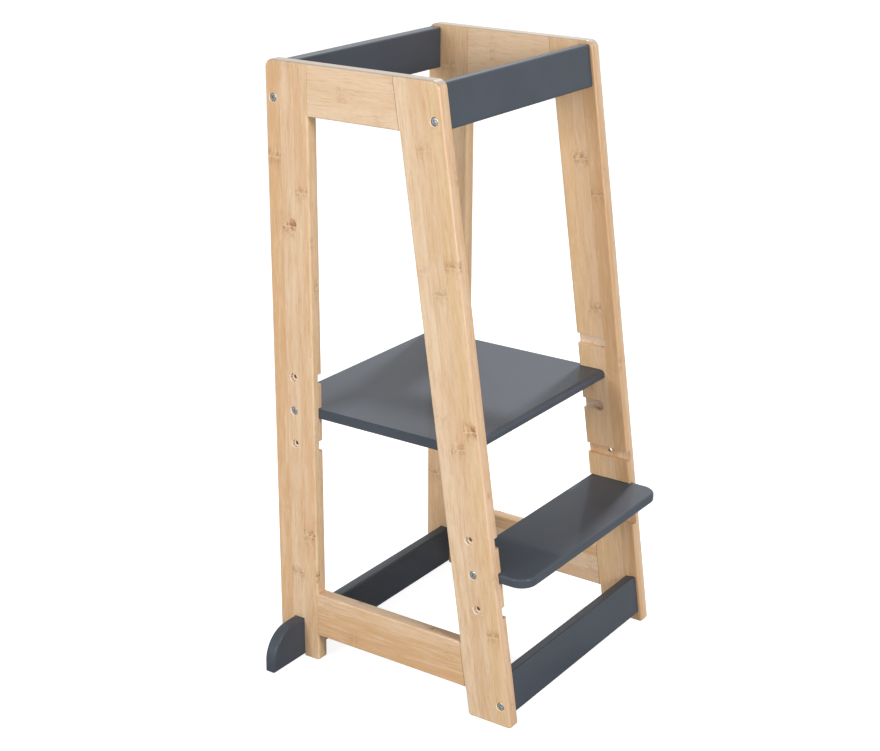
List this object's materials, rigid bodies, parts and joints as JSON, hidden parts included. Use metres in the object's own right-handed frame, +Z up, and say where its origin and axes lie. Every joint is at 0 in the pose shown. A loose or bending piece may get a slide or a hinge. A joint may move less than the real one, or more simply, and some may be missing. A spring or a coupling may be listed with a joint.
{
  "type": "toddler kitchen helper stool",
  "caption": "Tall wooden helper stool for a small child: side frames of bamboo planks joined by painted rails, with a height-set platform and step and a stabilising rear board.",
  "frame": {"origin": "on the floor, in the middle of the overall width and depth", "axes": "+X to the right of someone who faces the front of the stool, +Y from the step at the front to the rear, +Z up"},
  "size_m": [0.54, 0.4186, 0.88],
  "materials": {
    "bamboo": "laminated bamboo, clear satin lacquer",
    "painted_wood": "smooth satin anthracite paint",
    "bolt_steel": "zinc plated",
    "insert_steel": "zinc plated",
    "dowel_wood": "plain"
  },
  "bodies": {
    "stool": {"left_bottom_side_rail": "bamboo", "left_frame_dowels": "dowel_wood", "left_front_leg": "bamboo", "left_rear_leg": "bamboo", "left_top_side_rail": "bamboo", "lower_front_rail": "painted_wood", "lower_front_rail_bolts": "bolt_steel", "lower_front_rail_dowels": "dowel_wood", "lower_front_rail_inserts": "insert_steel", "platform": "painted_wood", "platform_inserts": "insert_steel", "right_bottom_side_rail": "bamboo", "right_frame_dowels": "dowel_wood", "right_front_leg": "bamboo", "right_rear_leg": "bamboo", "right_top_side_rail": "bamboo", "stabiliser_board": "painted_wood", "stabiliser_bolts": "bolt_steel", "stabiliser_inserts": "insert_steel", "step": "painted_wood", "step_inserts": "insert_steel", "upper_front_rail": "painted_wood", "upper_front_rail_bolts": "bolt_steel", "upper_front_rail_dowels": "dowel_wood", "upper_front_rail_inserts": "insert_steel", "upper_rear_rail": "painted_wood", "upper_rear_rail_bolts": "bolt_steel", "upper_rear_rail_dowels": "dowel_wood", "upper_rear_rail_inserts": "insert_steel"},
    "left_platform_bolt": {"left_platform_bolt": "bolt_steel"},
    "left_step_bolt": {"left_step_bolt": "bolt_steel"},
    "right_platform_bolt": {"right_platform_bolt": "bolt_steel"},
    "right_step_bolt": {"right_step_bolt": "bolt_steel"}
  },
  "joints": [
    {"name": "left_platform_bolt_draw", "type": "slide", "parent": "stool", "child": "left_platform_bolt", "axis": [-1, 0, 0], "range_m": [0, 0.03]},
    {"name": "left_step_bolt_draw", "type": "slide", "parent": "stool", "child": "left_step_bolt", "axis": [-1, 0, 0], "range_m": [0, 0.03]},
    {"name": "right_platform_bolt_draw", "type": "slide", "parent": "stool", "child": "right_platform_bolt", "axis": [1, 0, 0], "range_m": [0, 0.03]},
    {"name": "right_step_bolt_draw", "type": "slide", "parent": "stool", "child": "right_step_bolt", "axis": [1, 0, 0], "range_m": [0, 0.03]}
  ]
}
